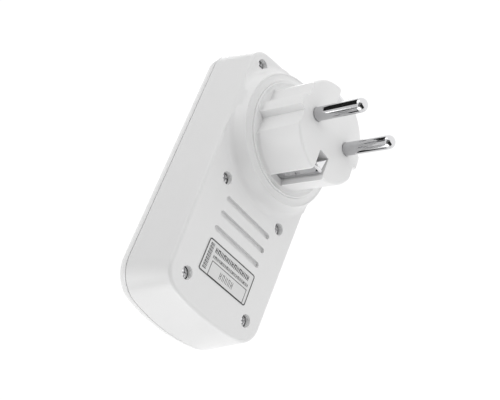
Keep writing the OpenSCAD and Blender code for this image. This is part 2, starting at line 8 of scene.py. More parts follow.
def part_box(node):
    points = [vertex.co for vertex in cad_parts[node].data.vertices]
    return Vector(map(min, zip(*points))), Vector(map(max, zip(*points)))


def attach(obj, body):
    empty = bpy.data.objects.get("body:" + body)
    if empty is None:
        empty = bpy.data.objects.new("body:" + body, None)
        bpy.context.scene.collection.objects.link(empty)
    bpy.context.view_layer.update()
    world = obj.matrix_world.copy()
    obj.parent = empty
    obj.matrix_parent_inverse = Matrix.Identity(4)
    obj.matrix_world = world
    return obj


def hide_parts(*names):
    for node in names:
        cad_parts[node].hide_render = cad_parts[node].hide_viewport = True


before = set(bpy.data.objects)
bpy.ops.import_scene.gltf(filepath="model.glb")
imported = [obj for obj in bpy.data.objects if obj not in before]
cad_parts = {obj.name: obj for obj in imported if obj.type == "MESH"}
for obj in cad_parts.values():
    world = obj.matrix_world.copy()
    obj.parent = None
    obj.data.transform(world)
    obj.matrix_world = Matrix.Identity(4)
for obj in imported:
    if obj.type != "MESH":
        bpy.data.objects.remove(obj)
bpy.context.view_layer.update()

# Lengths in this script are millimetres in the CAD frame: +Y along the pins, +Z up.
MM = 0.001


def edges_mm(node):
    """Lowest and highest corner of a CAD node, in millimetres."""
    low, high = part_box(node)
    return low / MM, high / MM


# ---- places read from the CAD model ----

rear_low, _ = edges_mm("rear_shell")
plug_low, plug_high = edges_mm("plug_body")
label_low, label_high = edges_mm("rating_label")
pin_low, pin_high = edges_mm("line_pin")
lcd_low, lcd_high = edges_mm("lcd_panel")

BACK_Y = label_low.y
JOINT_Y = rear_low.y
FACE_Y = plug_high.y
PIN_X = (pin_low.x + pin_high.x) / 2
PIN_R = (pin_high.x - pin_low.x) / 2
PIN_SHANK_R = PIN_R - 0.5

# Outlines as in the CAD source: half width at z = 0, taper, then crown height, crown
# radius and corner radius for the bottom and for the top. The joint's half width is 0.05
# less here, because finer arcs bulge more and have to stay inside the CAD model's box.
BACK_OUTLINE = (25.5, 0.036, -73.3, 88, 8.4, 27.6, 85, 7)
JOINT_OUTLINE = (27.15, 0.024, -76.75, 75, 12, 32.2, 70, 12.6)
WALL = 2
COLLAR_R = 24.3
RIM_R = 21
RIM_Y = -17.2
FLANGE_R = (plug_high.x - plug_low.x) / 2
SCREW_PAIRS = ((20.6, 19.3), (15.4, -27.7), (15.5, -64.4))
SCREW_PLACES = [(s * x, z) for x, z in SCREW_PAIRS for s in (-1, 1)]
WELL_R = 2.25
GROOVE_HEIGHTS = (-33.55, -39.3, -45.1)
GROOVE_LENGTH = 24.6
GROOVE_WIDTH = 2.0
GROOVE_DEPTH = 1.2
INK_LOW_Y = BACK_Y + 0.09
INK_HIGH_Y = BACK_Y + 0.115

# Plug: its radius and its hollow, the back of the solid block behind its face, and the
# flange's side towards the pins
PLUG_R = 18.2
HOLLOW_R = 13.6
BLOCK_Y = -7
FLANGE_Y = -20.6

# Side flats with their guide ribs, then the earth grooves and the slits for their strips
FLAT_X = 15.8
FLAT_END_Y = RIM_Y - 0.88
RIB_HALF = 1.9
EARTH_HALF = 2.6
EARTH_FLOOR_Z = 15.2
EARTH_END_Y = RIM_Y - 0.6
SLIT_HALF = 2.4

# Where cutters start, in the rear shell's hollow, and end, past the plug's face
CUT_START_Y = -40
CUT_END_Y = 1


# ---- mesh helpers ----

def mesh_object(name, points, faces):
    """A closed mesh from points in millimetres, with its normals turned outwards."""
    mesh = bpy.data.meshes.new(name)
    mesh.from_pydata([Vector(p) * MM for p in points], [], faces)
    bm = bmesh.new()
    bm.from_mesh(mesh)
    bmesh.ops.recalc_face_normals(bm, faces=bm.faces)
    bm.to_mesh(mesh)
    bm.free()
    obj = bpy.data.objects.new(name, mesh)
    bpy.context.scene.collection.objects.link(obj)
    return obj


def loft(name, rings):
    """A solid through rings of equal length, closed by a flat face at each end."""
    n = len(rings[0])
    points = [p for ring in rings for p in ring]
    faces = [
        (k * n + i, k * n + (i + 1) % n, (k + 1) * n + (i + 1) % n, (k + 1) * n + i)
        for k in range(len(rings) - 1) for i in range(n)
    ]
    faces.append(tuple(range(n)))
    faces.append(tuple(range((len(rings) - 1) * n, len(rings) * n)))
    return mesh_object(name, points, faces)


def lathe(name, profile, at=(0, 0), steps=128):
    """A solid turned about the Y axis through at, from (radius, y) points."""
    rings = []
    for r, y in profile:
        r = max(r, 0.001)
        rings.append([
            (at[0] + r * math.cos(2 * math.pi * k / steps), y,
             at[1] + r * math.sin(2 * math.pi * k / steps))
            for k in range(steps)
        ])
    return loft(name, rings)


def prism(name, points, y0, y1):
    """A solid with a flat outline of (x, z) points, from y0 to y1."""
    return loft(name, [[(x, y0, z) for x, z in points], [(x, y1, z) for x, z in points]])


def box(name, low, high):
    """A plain block between two corners, for cutters and flat printing."""
    x0, y0, z0 = low
    x1, y1, z1 = high
    return prism(name, [(x0, z0), (x1, z0), (x1, z1), (x0, z1)], y0, y1)


def bake(obj):
    """Applies the object's modifiers to its mesh."""
    graph = bpy.context.evaluated_depsgraph_get()
    mesh = bpy.data.meshes.new_from_object(obj.evaluated_get(graph))
    obj.modifiers.clear()
    old = obj.data
    obj.data = mesh
    bpy.data.meshes.remove(old)
    return obj


def combine(obj, other, operation):
    """Joins, cuts or trims obj with another solid, which is used up."""
    modifier = obj.modifiers.new("combine", "BOOLEAN")
    modifier.operation = operation
    modifier.solver = "EXACT"
    modifier.object = other
    bake(obj)
    bpy.data.objects.remove(other)
    return obj


def cut(obj, *others):
    """Cuts every other solid out of obj."""
    for other in others:
        combine(obj, other, "DIFFERENCE")
    return obj


def round_edges(obj, width, segments=3, angle=32):
    """Rounds every edge sharper than angle by width, in millimetres."""
    bm = bmesh.new()
    bm.from_mesh(obj.data)
    bmesh.ops.remove_doubles(bm, verts=bm.verts, dist=0.002 * MM)
    bmesh.ops.dissolve_limit(
        bm, angle_limit=math.radians(0.6), verts=bm.verts, edges=bm.edges
    )
    bm.to_mesh(obj.data)
    bm.free()
    modifier = obj.modifiers.new("round", "BEVEL")
    modifier.width = width * MM
    modifier.segments = segments
    modifier.limit_method = "ANGLE"
    modifier.angle_limit = math.radians(angle)
    modifier.use_clamp_overlap = True
    modifier.miter_outer = "MITER_ARC"
    return bake(obj)


def smooth(obj, angle=38):
    """Smooth shading that keeps flat faces flat and edges sharper than angle crisp."""
    obj.data.shade_smooth()
    obj.data.set_sharp_from_angle(angle=math.radians(angle))
    modifier = obj.modifiers.new("flat_faces", "WEIGHTED_NORMAL")
    modifier.keep_sharp = True
    return bake(obj)


# ---- outlines ----

def corner(half, taper, apex, crown, r, side):
    """Centre of the corner arc between a tapered side and a crown; the crown's centre."""
    x0 = half - r * math.hypot(1, taper)
    crown_z = apex - side * crown
    a = 1 + taper * taper
    b = 2 * (x0 * taper - crown_z)
    c = x0 * x0 + crown_z * crown_z - (crown - r) ** 2
    z = (-b + side * math.sqrt(b * b - 4 * a * c)) / (2 * a)
    return x0 + taper * z, z, crown_z


def arc(cx, cz, r, start, end, steps):
    """Points along an arc, without its first point."""
    turns = [start + (end - start) * i / steps for i in range(1, steps + 1)]
    return [(cx + r * math.cos(t), cz + r * math.sin(t)) for t in turns]


def outline(o, steps=14):
    """Closed list of (x, z) points round a case outline."""
    low = corner(o[0], o[1], o[2], o[3], o[4], -1)
    high = corner(o[0], o[1], o[5], o[6], o[7], 1)
    side = -math.atan(o[1])
    low_turn = math.atan2(low[1] - low[2], low[0])
    high_turn = math.atan2(high[1] - high[2], high[0])
    quarter = math.pi / 2
    half = (
        arc(0, low[2], o[3], -quarter, low_turn, steps)
        + arc(low[0], low[1], o[4], low_turn, side, steps)
        + arc(high[0], high[1], o[7], side, high_turn, steps)
        + arc(0, high[2], o[6], high_turn, quarter - 0.0005, steps)
    )
    return half + [(-x, z) for x, z in reversed(half)]


def inset(o, d):
    """The outline moved inwards by d."""
    return (
        o[0] - d * math.hypot(1, o[1]), o[1], o[2] + d, o[3] - d, max(o[4] - d, 0.5),
        o[5] - d, o[6] - d, max(o[7] - d, 0.5)
    )


def outline_ring(o, y):
    """The outline as a ring of points at height y."""
    return [(x, y, z) for x, z in outline(o)]


def stadium(w, h, r, at=(0, 0), steps=8):
    """Rectangle with round corners, as (x, z) points."""
    points = []
    for k, (sx, sz) in enumerate(((1, 1), (-1, 1), (-1, -1), (1, -1))):
        cx = at[0] + sx * (w / 2 - r)
        cz = at[1] + sz * (h / 2 - r)
        for i in range(steps + 1):
            t = math.pi / 2 * (k + i / steps)
            points.append((cx + r * math.cos(t), cz + r * math.sin(t)))
    return points


# ---- materials ----

def new_material(name):
    mat = bpy.data.materials.new(name)
    mat.use_nodes = True
    tree = mat.node_tree
    return mat, tree, tree.nodes["Principled BSDF"]


def noise(tree, coordinates, size, detail):
    """A noise texture whose features are about size millimetres across."""
    node = tree.nodes.new("ShaderNodeTexNoise")
    node.inputs["Scale"].default_value = 1 / (size * MM)
    node.inputs["Detail"].default_value = detail
    tree.links.new(coordinates, node.inputs["Vector"])
    return node.outputs["Fac"]


def ranged(tree, value, low, high):
    """value from 0.3..0.7, where noise mostly lies, mapped to low..high."""
    node = tree.nodes.new("ShaderNodeMapRange")
    node.inputs["From Min"].default_value = 0.3
    node.inputs["From Max"].default_value = 0.7
    node.inputs["To Min"].default_value = low
    node.inputs["To Max"].default_value = high
    tree.links.new(value, node.inputs["Value"])
    return node.outputs["Result"]


def tinted(tree, factor, dark, light):
    """A colour between dark and light."""
    node = tree.nodes.new("ShaderNodeMix")
    node.data_type = "RGBA"
    node.inputs["A"].default_value = (*dark, 1)
    node.inputs["B"].default_value = (*light, 1)
    tree.links.new(factor, node.inputs["Factor"])
    return node.outputs["Result"]


def stretched(tree, scale):
    """Object coordinates, stretched by scale."""
    coordinates = tree.nodes.new("ShaderNodeTexCoord")
    mapping = tree.nodes.new("ShaderNodeMapping")
    mapping.inputs["Scale"].default_value = scale
    tree.links.new(coordinates.outputs["Object"], mapping.inputs["Vector"])
    return mapping.outputs["Vector"]


def bump(tree, height, strength, depth):
    node = tree.nodes.new("ShaderNodeBump")
    node.inputs["Strength"].default_value = strength
    node.inputs["Distance"].default_value = depth * MM
    tree.links.new(height, node.inputs["Height"])
    return node.outputs["Normal"]


def plastic(name, colour, roughness, vary=0.02, grain=0.25, depth=0.01, coat=0.0):
    """Moulded plastic: faint flow marks in colour and gloss, and a fine-grained skin."""
    mat, tree, shader = new_material(name)
    coordinates = stretched(tree, (1, 1, 1))
    broad = noise(tree, coordinates, 18, 2)
    dark = [c * (1 - vary) for c in colour]
    light = [min(c * (1 + vary), 1) for c in colour]
    tree.links.new(tinted(tree, broad, dark, light), shader.inputs["Base Color"])
    patchy = noise(tree, coordinates, 5, 4)
    gloss = ranged(tree, patchy, roughness * 0.88, roughness * 1.12)
    tree.links.new(gloss, shader.inputs["Roughness"])
    skin = noise(tree, coordinates, grain, 2)
    tree.links.new(bump(tree, skin, 0.35, depth), shader.inputs["Normal"])
    shader.inputs["IOR"].default_value = 1.5
    if coat:
        shader.inputs["Coat Weight"].default_value = coat
        shader.inputs["Coat Roughness"].default_value = 0.12
    return mat


def metal(name, colour, roughness, stretch=(1, 1, 1), size=0.4, depth=0.002, vary=0.06):
    """Metal with fine drawn or rolled marks along its stretched direction."""
    mat, tree, shader = new_material(name)
    shader.inputs["Metallic"].default_value = 1.0
    broad = noise(tree, stretched(tree, (1, 1, 1)), 6, 3)
    dark = [c * (1 - vary) for c in colour]
    tree.links.new(tinted(tree, broad, dark, colour), shader.inputs["Base Color"])
    marks = noise(tree, stretched(tree, stretch), size, 4)
    gloss = ranged(tree, marks, roughness * 0.7, roughness * 1.4)
    tree.links.new(gloss, shader.inputs["Roughness"])
    tree.links.new(bump(tree, marks, 0.3, depth), shader.inputs["Normal"])
    return mat


def clear(name, colour, roughness, ior=1.49):
    """Clear plastic or glass with a few faint polishing marks."""
    mat, tree, shader = new_material(name)
    shader.inputs["Transmission Weight"].default_value = 1.0
    shader.inputs["IOR"].default_value = ior
    coordinates = stretched(tree, (1, 1, 1))
    broad = noise(tree, coordinates, 12, 2)
    dark = [c * 0.97 for c in colour]
    tree.links.new(tinted(tree, broad, dark, colour), shader.inputs["Base Color"])
    marks = noise(tree, coordinates, 2, 3)
    gloss = ranged(tree, marks, roughness * 0.7, roughness * 1.5)
    tree.links.new(gloss, shader.inputs["Roughness"])
    return mat


def circuit_board(name):
    """Green solder mask over a woven laminate, with faint tracks in a lighter green."""
    mat, tree, shader = new_material(name)
    coordinates = stretched(tree, (1, 1, 1))
    tracks = tree.nodes.new("ShaderNodeTexBrick")
    tracks.inputs["Scale"].default_value = 1 / (6 * MM)
    tracks.inputs["Mortar Size"].default_value = 0.06
    tracks.inputs["Color1"].default_value = (0, 0, 0, 1)
    tracks.inputs["Color2"].default_value = (0, 0, 0, 1)
    tracks.inputs["Mortar"].default_value = (1, 1, 1, 1)
    tree.links.new(stretched(tree, (1, 0, 1)), tracks.inputs["Vector"])
    mask = tinted(tree, tracks.outputs["Fac"], (0.01, 0.1, 0.035), (0.025, 0.19, 0.07))
    tree.links.new(mask, shader.inputs["Base Color"])
    weave = noise(tree, coordinates, 0.5, 2)
    tree.links.new(ranged(tree, weave, 0.25, 0.4), shader.inputs["Roughness"])
    tree.links.new(bump(tree, weave, 0.2, 0.01), shader.inputs["Normal"])
    return mat


WHITE = (0.81, 0.81, 0.81)
MATERIALS = {
    "case": plastic("case_plastic", WHITE, 0.36, 0.01, 0.35, 0.002, coat=0.1),
    # A brighter copy of the case plastic: painted light on the screw wells' walls and the earth
    # grooves' sides, lifting their shade.
    "lit": plastic("painted_light_plastic", (0.96, 0.96, 0.96), 0.4, 0.01, 0.35, 0.002),
    # A matt copy of the case plastic for the grooves, darker as painted shade.
    "groove": plastic("groove_painted_shade_plastic", (0.77, 0.77, 0.77), 0.7, 0.02, 0.2, 0.006),
    "insert": plastic("insert_plastic", (0.86, 0.86, 0.86), 0.45, 0.01, 0.5, 0.0015,
                      coat=0.1),
    # The pins' noses: a brighter copy of the pin metal, as painted light.
    "nose": metal("pin_nose", (0.72, 0.72, 0.73), 0.05, (1, 0.03, 1), 0.25, 0.0004, 0.02),
    # Pin metal, also given to the earth strips' recessed faces as painted shade.
    "chrome_and_strip_shade": metal("pin_chrome", (0.56, 0.56, 0.57), 0.05, (1, 0.03, 1), 0.25, 0.0004, 0.02),
    "contact": metal("contact_metal", (0.82, 0.82, 0.83), 0.09, (1, 0.05, 1), 0.2, 0.0006),
    "brass": metal("contact_brass", (0.80, 0.62, 0.28), 0.28, (0.1, 1, 1)),
    "screw": metal("screw_steel", (0.93, 0.93, 0.94), 0.3, (1, 1, 1), 0.3, 0.001, 0.1),
    "fine_screw": metal("fine_screw_steel", (0.62, 0.62, 0.64), 0.25, (1, 1, 1), 0.3),
    "spring": metal("spring_steel", (0.5, 0.5, 0.52), 0.22, (1, 1, 1), 0.2),
    "alloy": metal("shunt_alloy", (0.62, 0.42, 0.30), 0.35, (1, 1, 0.1)),
    "copper": metal("antenna_copper", (0.75, 0.38, 0.2), 0.2, (0.2, 1, 1), 0.2),
    "gold": metal("pin_gold", (0.85, 0.66, 0.28), 0.2, (1, 0.2, 1), 0.2),
    "can": metal("can_steel", (0.7, 0.7, 0.71), 0.24, (0.1, 1, 1), 0.2),
    "film": plastic("label_film", (0.74, 0.74, 0.74), 0.42, 0.015, 0.15, 0.003),
    "ink": plastic("label_ink", (0.045, 0.045, 0.047), 0.5, 0.1, 0.1, 0.002),
    "carrier": plastic("carrier_plastic", (0.05, 0.05, 0.052), 0.45, 0.06, 0.3),
    "shutter": plastic("shutter_plastic", (0.6, 0.6, 0.6), 0.4, 0.03),
    "window": clear("window_acrylic", (0.95, 0.97, 0.98), 0.03),
    "guide": clear("light_guide_plastic", (0.96, 0.96, 0.96), 0.3),
    "lcd": plastic("lcd_glass", (0.33, 0.37, 0.28), 0.12, 0.03, 0.5, 0.001, coat=0.5),
    "segments": plastic("lcd_segments", (0.03, 0.035, 0.03), 0.3, 0.05),
    "elastomer": plastic("elastomer", (0.5, 0.25, 0.33), 0.7, 0.1, 0.2),
    "key": plastic("key_plastic", (0.36, 0.37, 0.38), 0.5, 0.03, 0.3, 0.012),
    "print": plastic("key_print", (0.85, 0.85, 0.85), 0.45, 0.03),
    "black": plastic("black_plastic", (0.015, 0.015, 0.017), 0.4, 0.1, 0.2),
    "led": plastic("led_resin", (0.75, 0.12, 0.05), 0.2, 0.05),
    "board": circuit_board("circuit_board"),
    "relay": plastic("relay_plastic", (0.02, 0.09, 0.33), 0.35, 0.05),
    "film_box": plastic("film_capacitor", (0.6, 0.45, 0.1), 0.45, 0.05),
    "sleeve": plastic("capacitor_sleeve", (0.02, 0.03, 0.035), 0.25, 0.08),
    "glass": clear("fuse_glass", (0.9, 0.93, 0.94), 0.02, 1.5),
    "varistor": plastic("varistor_coat", (0.03, 0.12, 0.34), 0.5, 0.08, 0.4, 0.02),
    "sheath": plastic("wire_sheath", (0.10, 0.12, 0.20), 0.4, 0.05),
    "floor": plastic("floor_paper", (0.86, 0.86, 0.86), 0.8, 0.01, 3),
    "flag": plastic("flag_cloth", (0.004, 0.004, 0.004), 0.9, 0.1, 2),
    "card": plastic("grey_card", (0.17, 0.17, 0.17), 0.9, 0.02, 2),
}


def dress(obj, material):
    """Gives the object one material."""
    obj.data.materials.clear()
    obj.data.materials.append(MATERIALS[material])


def place(obj, body, slot, material, *nodes):
    """Finishes a piece: its material, its body and the nodes it stands for; the slot is not used.
    """
    dress(obj, material)
    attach(obj, body)
    if nodes:
        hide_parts(*nodes)
    return obj


def recoat(obj, material, chosen):
    """Gives another finish to the faces whose centre, in millimetres, is chosen."""
    obj.data.materials.append(MATERIALS[material])
    last = len(obj.data.materials) - 1
    for face in obj.data.polygons:
        if chosen(face.center / MM):
            face.material_index = last


def softened(node, material, slot, body="case", width=0.2, segments=3, angle=32):
    """A copy of a CAD node with its sharp edges rounded, in place of the node."""
    obj = bpy.data.objects.new(node + "_moulded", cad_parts[node].data.copy())
    bpy.context.scene.collection.objects.link(obj)
    round_edges(obj, width, segments, angle)
    smooth(obj)
    return place(obj, body, slot, material, node)


# ---- case ----

def case_solid(d, back_y, edge):
    """The rear shell's outer form moved inwards by d, with a rounded back edge."""
    rings = [outline_ring(inset(JOINT_OUTLINE, d), JOINT_Y - (d > 0))]
    for k in range(7):
        t = math.pi / 2 * k / 6
        o = inset(BACK_OUTLINE, d + edge * (1 - math.cos(t)))
        rings.append(outline_ring(o, back_y - edge * (1 - math.sin(t))))
    return loft("case_solid", rings)


def boss_profile():
    """Collar profile: a hollow at its foot, a sloping side and a rounded rim."""
    foot_r = 3.2
    foot = [
        (COLLAR_R + 1.0 + foot_r * (1 - math.cos(t)), BACK_Y - 0.02 + foot_r * (1 - math.sin(t)))
        for t in [math.pi / 2 * (1 - k / 8) for k in range(9)]
    ]
    rim = [
        (COLLAR_R + 0.02, RIM_Y - 1.4), (COLLAR_R - 0.06, RIM_Y - 1.08),
        (COLLAR_R - 0.22, RIM_Y - 0.92), (COLLAR_R - 0.42, RIM_Y - 0.88),
        (COLLAR_R - 0.62, RIM_Y - 0.95), (COLLAR_R - 0.8, RIM_Y - 1.1),
        (COLLAR_R - 1.6, RIM_Y - 1.02), (RIM_R + 0.9, RIM_Y - 0.75),
        (RIM_R + 0.5, RIM_Y - 0.5)
    ]
    start = [(0, BACK_Y - 1), (foot[0][0], BACK_Y - 1)]
    return start + foot[:-2] + rim + [(0, rim[-1][1])]


def rear_case():
    obj = case_solid(0, BACK_Y, 1.3)
    boss = lathe("boss", boss_profile(), steps=160)
    combine(boss, prism("trim", outline(inset(BACK_OUTLINE, 0.12)), -30, 0), "INTERSECT")
    combine(obj, boss, "UNION")
    cut(obj, case_solid(WALL, BACK_Y - WALL, 1))
    bore_r = RIM_R + 0.05
    cut(obj, lathe("bore", [(0, CUT_START_Y), (bore_r, CUT_START_Y), (bore_r, 0), (0, 0)]))
    for x, z in SCREW_PLACES:
        cut(obj, lathe("well", [
            (0, CUT_START_Y), (WELL_R, CUT_START_Y), (WELL_R, BACK_Y + 0.4), (0, BACK_Y + 0.4)
        ], (x, z), 48))
    for z in GROOVE_HEIGHTS:
        cut(obj, groove(z))
    round_edges(obj, 0.16, 2, 40)
    smooth(obj, 30)
    place(obj, "case", "white_plastic", "case", "rear_shell")
    # Painted shade: the grooves' floors and sides get the darker plastic.
    recoat(obj, "groove", in_groove)
    # Painted light: the screw wells' walls get the brighter plastic.
    recoat(obj, "lit", in_well)


def in_well(point):
    """True on the wall of a screw's well, which gets a brighter plastic as painted light."""
    near = any(math.dist((point.x, point.z), place_xz) < WELL_R + 0.05
               for place_xz in SCREW_PLACES)
    return near and point.y < BACK_Y - 0.1


def in_groove(point):
    """True on the floor and sides of the three grooves, below their rounded edge, which get a
    matt plastic that is darker as painted shade.
    """
    slack = 0.03
    near = any(abs(point.z - z) < GROOVE_WIDTH / 2 + slack for z in GROOVE_HEIGHTS)
    inside = near and abs(point.x) < GROOVE_LENGTH / 2 + slack
    return inside and 0.12 < BACK_Y - point.y < GROOVE_DEPTH + 0.1


def groove(z):
    """Cutter for one long groove with round ends and rounded floor edges."""
    rings = []
    for y, d in ((0.6, -0.5), (0.1, -0.13), (-0.12, 0), (-GROOVE_DEPTH + 0.3, 0.02),
                 (-GROOVE_DEPTH + 0.1, 0.12), (-GROOVE_DEPTH, 0.35)):
        points = stadium(GROOVE_LENGTH - 2 * d, GROOVE_WIDTH - 2 * d,
                         GROOVE_WIDTH / 2 - d - 0.01, (0, z))
        rings.append([(x, BACK_Y + y, zz) for x, zz in points])
    return loft("groove", rings)


def front_case():
    obj = softened("front_cover", "case", "white_plastic", width=0.15, segments=2, angle=40)
    smooth(obj, 30)


# ---- rating label ----

def rating_label():
    w = label_high.x - label_low.x
    h = label_high.z - label_low.z
    centre = ((label_low.x + label_high.x) / 2, (label_low.z + label_high.z) / 2)
    film = prism("label_film", stadium(w, h, 1, centre), BACK_Y - 0.02, BACK_Y + 0.1)
    round_edges(film, 0.03, 2)
    smooth(film)
    place(film, "case", "label", "film", "rating_label")
    parts = [frame_line(w - 0.3, h - 0.3, 0.95, centre, 0.42)]
    right = centre[0] + w / 2
    left = centre[0] - w / 2
    low = centre[1] - h / 2
    window_w = 18.8
    window = (left + 1.7 + window_w / 2, low + 0.3 + 2.7)
    parts.append(frame_line(window_w, 5.2, 0.1, window, 0.24))
    # plain blocks: two rows, a short row in the frame, and a column at the side
    start = right - 4.2
    parts += blocks_across(start, left + 2.0, low + 9.3, 1.75, (0.9, 1.2, 1.0, 1.2), 0.36, 0.4)
    parts += blocks_across(start, left + 1.7, low + 6.9, 1.1, (0.5, 0.9, 0.7), 0.32, 0.3)
    parts += blocks_across(window[0] + 4.2, window[0] - 4.2, low + 3.0, 2.3, (0.9, 0.9), 0.6, 0.2)
    for k in range(9):
        z = low + 1.5 + 1.05 * k
        parts.append(stroke((right - 3.1, z), (right - 1.4, z + 0.32)))
        parts.append(stroke((right - 3.1, z + 0.55), (right - 1.4, z + 0.75)))
        parts.append(stroke((right - 1.7, z + 0.3), (right - 1.4, z + 0.6)))
    ink = join("label_ink", parts)
    place(ink, "case", "label", "ink")


def flat_bar(name, a, b, y0, y1):
    """A thin bar between two opposite (x, z) corners, given in either order."""
    x0, x1 = sorted((a[0], b[0]))
    z0, z1 = sorted((a[1], b[1]))
    return box(name, (x0, y0, z0), (x1, y1, z1))


def stroke(a, b):
    """One printed rectangle between two corners."""
    return flat_bar("stroke", a, b, INK_LOW_Y, INK_HIGH_Y)


def frame_line(w, h, r, centre, t):
    """A printed frame of line width t."""
    outer = prism("line", stadium(w, h, r, centre), INK_LOW_Y, INK_HIGH_Y)
    inner = stadium(w - 2 * t, h - 2 * t, max(r - t, 0.05), centre)
    return cut(outer, prism("inner", inner, BACK_Y, BACK_Y + 1))


def blocks_across(start, end, z, height, widths, gap, bold):
    """A row of plain blocks with hollow centres, from start down to end in X."""
    row = []
    x = start
    k = 0
    while x - widths[k % len(widths)] > end:
        w = widths[k % len(widths)]
        line = min(bold, w / 3)
        row.append(stroke((x, z - height / 2), (x - line, z + height / 2)))
        row.append(stroke((x - w + line, z - height / 2), (x - w, z + height / 2)))
        if k % 3 != 2:
            bar_z = z + height / 2 if k % 2 else z + line / 2
            row.append(stroke((x - line, bar_z - line), (x - w + line, bar_z)))
        x -= w + gap
        k += 1
    return row


def join(name, objects):
    """One object from several, which are used up."""
    bm = bmesh.new()
    for obj in objects:
        bm.from_mesh(obj.data)
        bpy.data.objects.remove(obj)
    mesh = bpy.data.meshes.new(name)
    bm.to_mesh(mesh)
    bm.free()
    joined = bpy.data.objects.new(name, mesh)
    bpy.context.scene.collection.objects.link(joined)
    return joined


# ---- plug ----

def mains_pin(name, x):
    nose = 2.1
    flat = 0.7
    tip = [
        (flat + (PIN_R - flat) * math.cos(t), pin_high.y - nose * (1 - math.sin(t)))
        for t in [math.pi / 2 * k / 14 for k in range(15)]
    ]
    tail_r = 1.6
    foot = [(0, pin_low.y), (tail_r, pin_low.y), (tail_r, BLOCK_Y), (PIN_SHANK_R, BLOCK_Y),
            (PIN_SHANK_R, 0.0), (PIN_R - 0.05, 0.0), (PIN_R, 0.05)]
    obj = lathe(name + "_turned", foot + tip + [(0, pin_high.y)], (x, 0), 96)
    smooth(obj, 40)
    place(obj, "case", "pin_chrome", "chrome_and_strip_shade", name)
    # Painted light: the nose gets the brighter copy of the pin metal.
    recoat(obj, "nose", lambda point: point.y > pin_high.y - nose)


def plug():
    r = PLUG_R
    foot_y = plug_low.y
    face = [
        (r - 0.9 + 0.9 * math.sin(t), -0.9 + 0.9 * math.cos(t))
        for t in [math.pi / 2 * k / 8 for k in range(9)]
    ]
    dish = [
        (r + 0.1, RIM_Y + 0.5), (r + 0.16, RIM_Y - 0.1), (r + 0.35, RIM_Y - 0.55),
        (r + 0.7, RIM_Y - 0.85), (r + 1.15, RIM_Y - 0.92), (r + 1.6, RIM_Y - 0.75),
        (r + 2.1, RIM_Y - 0.35), (RIM_R - 0.45, RIM_Y - 0.06), (RIM_R - 0.25, RIM_Y),
        (RIM_R - 0.08, RIM_Y - 0.08), (RIM_R, RIM_Y - 0.3)
    ]
    body = [(RIM_R, FLANGE_Y), (FLANGE_R, FLANGE_Y), (FLANGE_R, foot_y), (HOLLOW_R, foot_y),
            (HOLLOW_R, BLOCK_Y), (0, BLOCK_Y)]
    obj = lathe("plug_moulded", [(0, FACE_Y)] + face + dish + body, steps=192)
    for sx in (-1, 1):
        for sz in (-1, 1):
            corners = ((FLAT_X, 3.1), (19, RIB_HALF), (21, RIB_HALF), (21, 11), (FLAT_X, 11))
            points = [(sx * x, sz * z) for x, z in corners]
            flat = prism("flat", points, FLAT_END_Y, CUT_END_Y)
            reach = lathe("reach", [(0, -30), (r + 0.95, -30), (r + 0.95, 2), (0, 2)], steps=192)
            cut(obj, combine(flat, reach, "INTERSECT"))
    for sz in (-1, 1):
        cut(
            obj,
            box("groove", (-EARTH_HALF, EARTH_END_Y, sz * EARTH_FLOOR_Z),
                (EARTH_HALF, CUT_END_Y, sz * 20)),
            prism("flare", [(EARTH_HALF, sz * 16.4), (3.3, sz * 18.6), (-3.3, sz * 18.6),
                            (-EARTH_HALF, sz * 16.4)], EARTH_END_Y, CUT_END_Y),
            box("pocket", (-EARTH_HALF, -6, sz * 9.6), (EARTH_HALF, CUT_END_Y, sz * 15.4)),
            box("slit", (-SLIT_HALF, -25, sz * 15.15), (SLIT_HALF, RIM_Y, sz * 16.05)),
            box("seat", (-SLIT_HALF, -25, sz * -1), (SLIT_HALF, -22.7, sz * PLUG_R)),
        )
        cut(obj, lathe("pin_hole", [
            (0, BLOCK_Y - 1), (PIN_SHANK_R, BLOCK_Y - 1), (PIN_SHANK_R, -0.3),
            (PIN_R + 0.12, -0.3), (PIN_R + 0.12, CUT_END_Y), (0, CUT_END_Y)
        ], (sz * PIN_X, 0), 64))
    round_edges(obj, 0.22, 3, 35)
    smooth(obj, 30)
    place(obj, "case", "insert_plastic", "insert", "plug_body")
    # Painted light: the sides of the earth grooves get the brighter plastic.
    recoat(obj, "lit", in_earth_groove)


def in_earth_groove(point):
    """True on the two sides of each earth groove, which get a brighter plastic as painted light.
    """
    beside = EARTH_HALF - 0.1 < abs(point.x) < 3.5
    return beside and abs(point.z) > EARTH_FLOOR_Z + 0.1 and point.y > EARTH_END_Y


# ---- front controls ----

def seven_segments(x, z, w, h):
    """All seven bars of one display digit."""
    t = 0.13 * h
    bars = []
    for level in (0, 1, 2):
        zc = z + (level - 1) * (h - t) / 2
        bars.append(((x - w / 2 + t, zc - t / 2), (x + w / 2 - t, zc + t / 2)))
    for sx in (-1, 1):
        for sz in (0, 1):
            xc = x + sx * (w - t) / 2
            z0 = z + (sz - 1) * (h - t) / 2 + t * 0.35
            z1 = z0 + (h - t) / 2 - t * 0.7
            bars.append(((xc - t / 2, z0), (xc + t / 2, z1)))
    return bars


def display():
    softened("display_window", "window", "window", width=0.12)
    softened("lcd_panel", "lcd", "lcd", width=0.05, segments=1)
    y = lcd_low.y
    z = (lcd_low.z + lcd_high.z) / 2
    bars = []
    for k in range(4):
        bars += seven_segments(11 - 6.2 * k - 3, z - 0.3, 4.2, 7.4)
    for k in range(4):
        x = lcd_high.x - 7 - 8 * k
        bars.append(((x, z + 5.0), (x - 3, z + 5.3)))
    pieces = [flat_bar("bar", a, b, y - 0.03, y + 0.01) for a, b in bars]
    place(join("lcd_segments", pieces), "case", "lcd", "segments")


